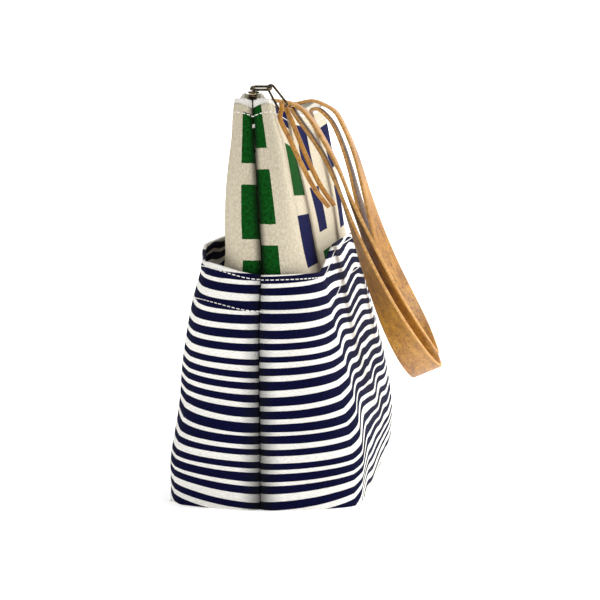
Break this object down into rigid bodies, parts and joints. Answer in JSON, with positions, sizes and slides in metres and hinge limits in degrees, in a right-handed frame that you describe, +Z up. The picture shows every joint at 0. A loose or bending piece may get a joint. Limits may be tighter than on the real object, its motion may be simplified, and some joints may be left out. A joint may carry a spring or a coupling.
{
  "type": "tote bag",
  "caption": "Soft canvas tote bag standing on its base, with open outer pockets, a closed top zip with a lace pull, and two strap handles hanging over the front",
  "frame": {"origin": "the middle of the flat underside of the base, on the surface that the bag stands on", "axes": "+X points out of the front face, on whose side the handles hang; +Y runs along the bag's length, away from the closed end of the zip; +Z points up"},
  "size_m": [0.1962, 0.4398, 0.3097],
  "materials": {
    "printed_canvas": "coarse natural canvas with printed blocks",
    "pocket_cloth": "coarse canvas with printed stripes",
    "binding_cloth": "plain woven binding",
    "lining_cloth": "plain pale cloth",
    "zip_tape": "woven tape",
    "zip_coil": "nylon coil",
    "aged_metal": "aged, dark and polished by wear",
    "cork": "cork cloth, matt with dark flecks",
    "thread": "sewing thread"
  },
  "bodies": {
    "bag": {"front_panel": "printed_canvas", "back_panel": "printed_canvas", "base_panel": "pocket_cloth", "lining_front": "lining_cloth", "lining_back": "lining_cloth", "lining_base": "lining_cloth", "facing_front": "lining_cloth", "facing_back": "lining_cloth", "pocket_front": "pocket_cloth", "pocket_back": "pocket_cloth", "pocket_binding_front": "binding_cloth", "pocket_binding_back": "binding_cloth", "seam_bartack_near": "thread", "seam_bartack_far": "thread", "zip_tape_front": "zip_tape", "zip_tape_back": "zip_tape", "zip_coil_front": "zip_coil", "zip_coil_back": "zip_coil", "zip_stop_near": "aged_metal", "zip_stop_far": "aged_metal", "handle_front_end_near": "cork", "handle_front_end_far": "cork", "handle_back_end_near": "cork", "handle_back_end_far": "cork"},
    "slider": {"slider_body": "aged_metal"},
    "ring": {"pull_ring": "aged_metal"},
    "pull": {"pull_bail": "aged_metal", "pull_lace": "cork"},
    "front_loop": {"handle_front": "cork"},
    "back_loop": {"handle_back": "cork"}
  },
  "joints": [
    {"name": "zip_run", "type": "hinge", "parent": "bag", "child": "slider", "pos_m": [-0.0095, 0.015, 2.5211], "axis": [1, 0, 0], "range_deg": [0, 10.2], "deforming": ["pull_lace"]},
    {"name": "ring_flip", "type": "hinge", "parent": "slider", "child": "ring", "pos_m": [-0.0095, -0.2041, 0.30543], "axis": [1, 0, 0], "range_deg": [0, 150]},
    {"name": "pull_swing", "type": "hinge", "parent": "ring", "child": "pull", "pos_m": [0.0027, -0.20054, 0.30662], "axis": [0, -0.9953, 0.0973], "range_deg": [0, 110]},
    {"name": "front_handle_swing", "type": "hinge", "parent": "bag", "child": "front_loop", "pos_m": [0.008, -0.006, 0.2955], "axis": [0, -1, 0], "range_deg": [0, 150], "deforming": ["handle_front_end_near", "handle_front_end_far"]},
    {"name": "back_handle_swing", "type": "hinge", "parent": "bag", "child": "back_loop", "pos_m": [-0.002, -0.006, 0.2955], "axis": [0, -1, 0], "range_deg": [0, 150], "deforming": ["handle_back_end_near", "handle_back_end_far"]}
  ],
  "couplings": [
    {"joint": "back_handle_swing", "follows": "front_handle_swing", "ratio": 1}
  ]
}
